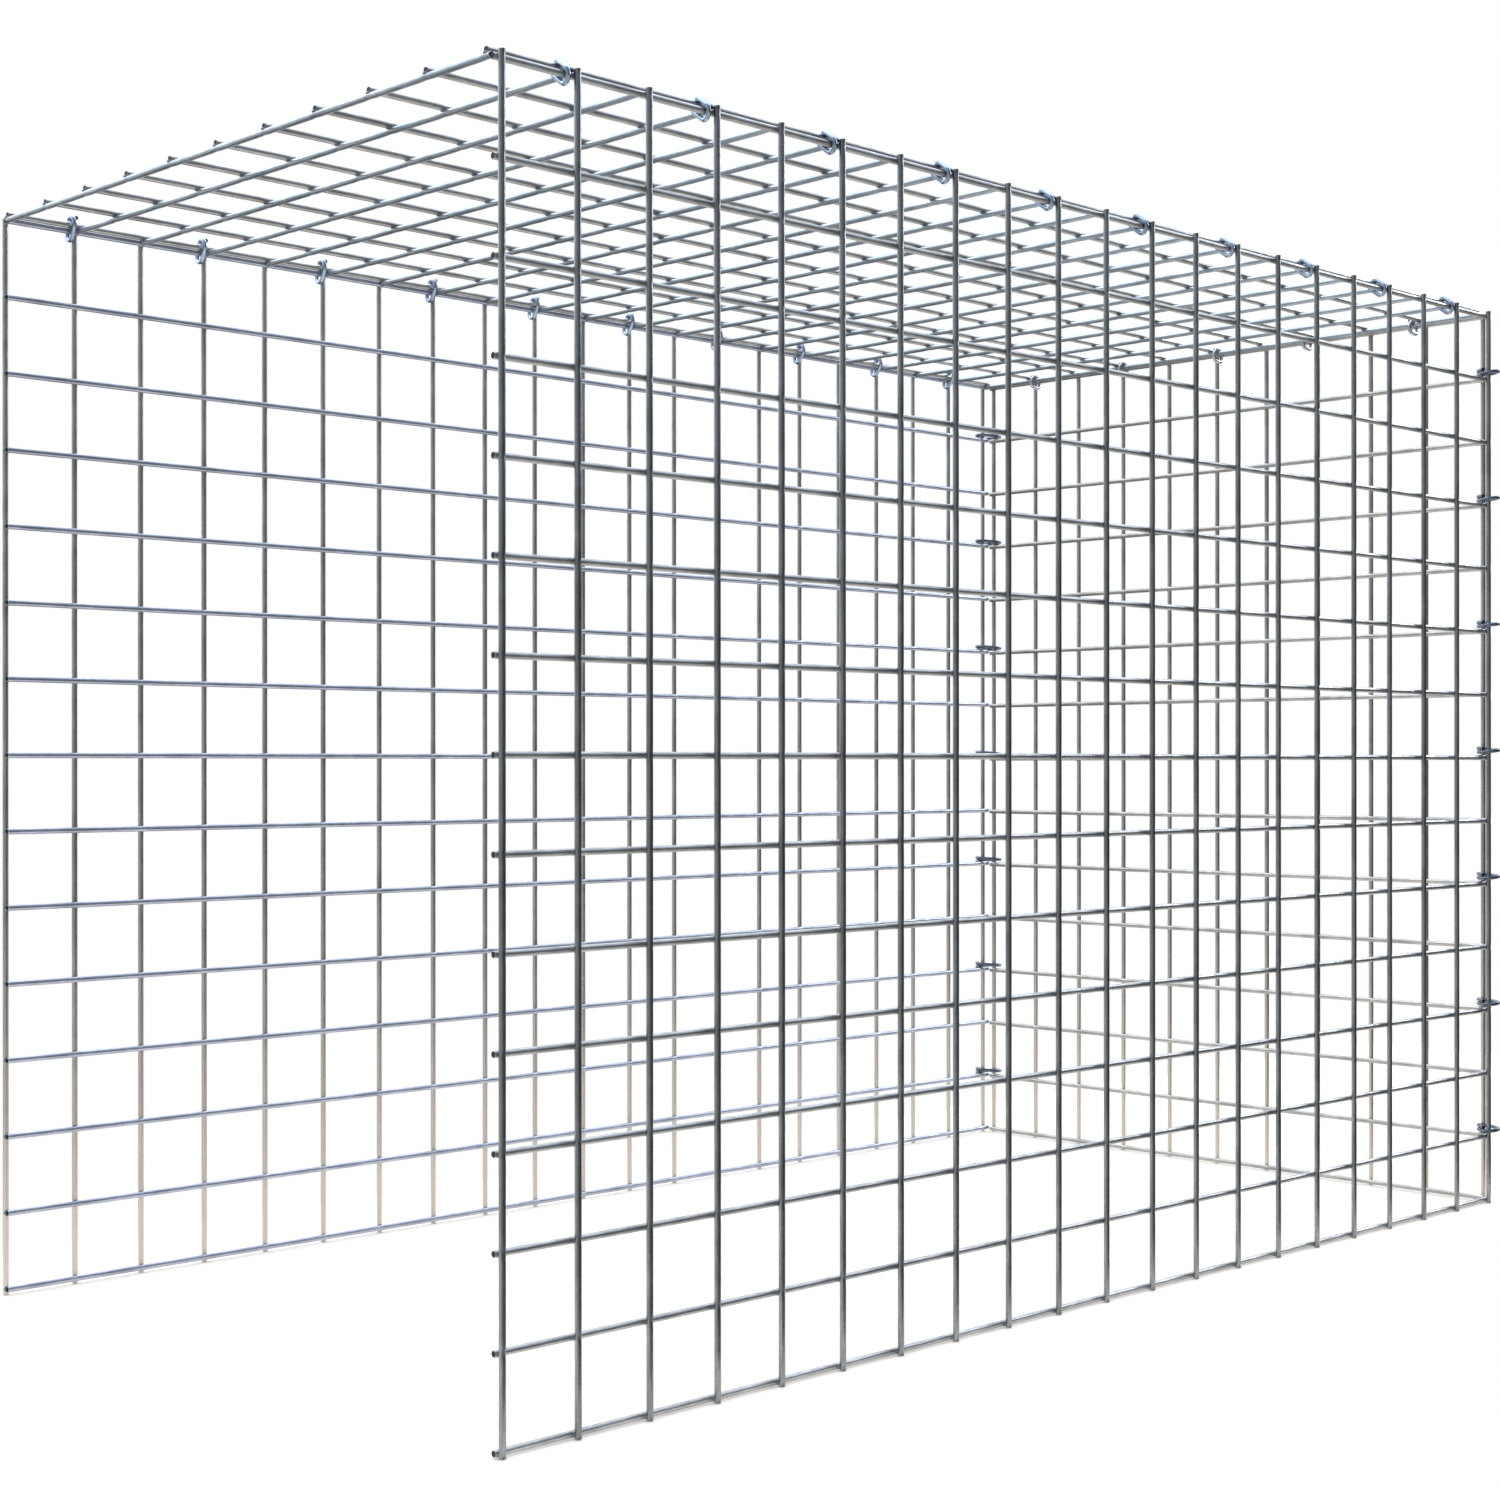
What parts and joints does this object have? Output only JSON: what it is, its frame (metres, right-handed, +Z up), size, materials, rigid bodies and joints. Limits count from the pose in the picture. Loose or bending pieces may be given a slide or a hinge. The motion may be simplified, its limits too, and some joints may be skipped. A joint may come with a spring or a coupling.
{
  "type": "gabion basket",
  "caption": "Open add-on gabion basket of galvanised welded wire mesh: front, back, right end and lid panels tied along their edges by closed C-rings, with the left end and underside open.",
  "frame": {"origin": "centre of the front left upright's cut foot, on the ground", "axes": "+X along the front from the open left side to the end panel, +Y from the front panel to the back panel, +Z up"},
  "size_m": [1.0188, 0.5305, 0.7139],
  "materials": {
    "mesh_wire": "galvanised, drawn wire with a satin zinc and aluminium coat",
    "ring_wire": "galvanised, brighter and smoother spring wire"
  },
  "bodies": {
    "root": {"front_panel": "mesh_wire", "back_panel": "mesh_wire", "end_panel": "mesh_wire", "lid_panel": "mesh_wire", "front_ring_01": "ring_wire", "front_ring_02": "ring_wire", "front_ring_03": "ring_wire", "front_ring_04": "ring_wire", "front_ring_05": "ring_wire", "front_ring_06": "ring_wire", "front_ring_07": "ring_wire", "front_ring_08": "ring_wire", "front_ring_09": "ring_wire", "front_ring_10": "ring_wire", "back_ring_01": "ring_wire", "back_ring_02": "ring_wire", "back_ring_03": "ring_wire", "back_ring_04": "ring_wire", "back_ring_05": "ring_wire", "back_ring_06": "ring_wire", "back_ring_07": "ring_wire", "back_ring_08": "ring_wire", "back_ring_09": "ring_wire", "back_ring_10": "ring_wire", "end_ring_01": "ring_wire", "end_ring_02": "ring_wire", "end_ring_03": "ring_wire", "end_ring_04": "ring_wire", "end_ring_05": "ring_wire", "front_corner_ring_01": "ring_wire", "front_corner_ring_02": "ring_wire", "front_corner_ring_03": "ring_wire", "front_corner_ring_04": "ring_wire", "front_corner_ring_05": "ring_wire", "front_corner_ring_06": "ring_wire", "front_corner_ring_07": "ring_wire", "back_corner_ring_01": "ring_wire", "back_corner_ring_02": "ring_wire", "back_corner_ring_03": "ring_wire", "back_corner_ring_04": "ring_wire", "back_corner_ring_05": "ring_wire", "back_corner_ring_06": "ring_wire", "back_corner_ring_07": "ring_wire"}
  },
  "joints": []
}
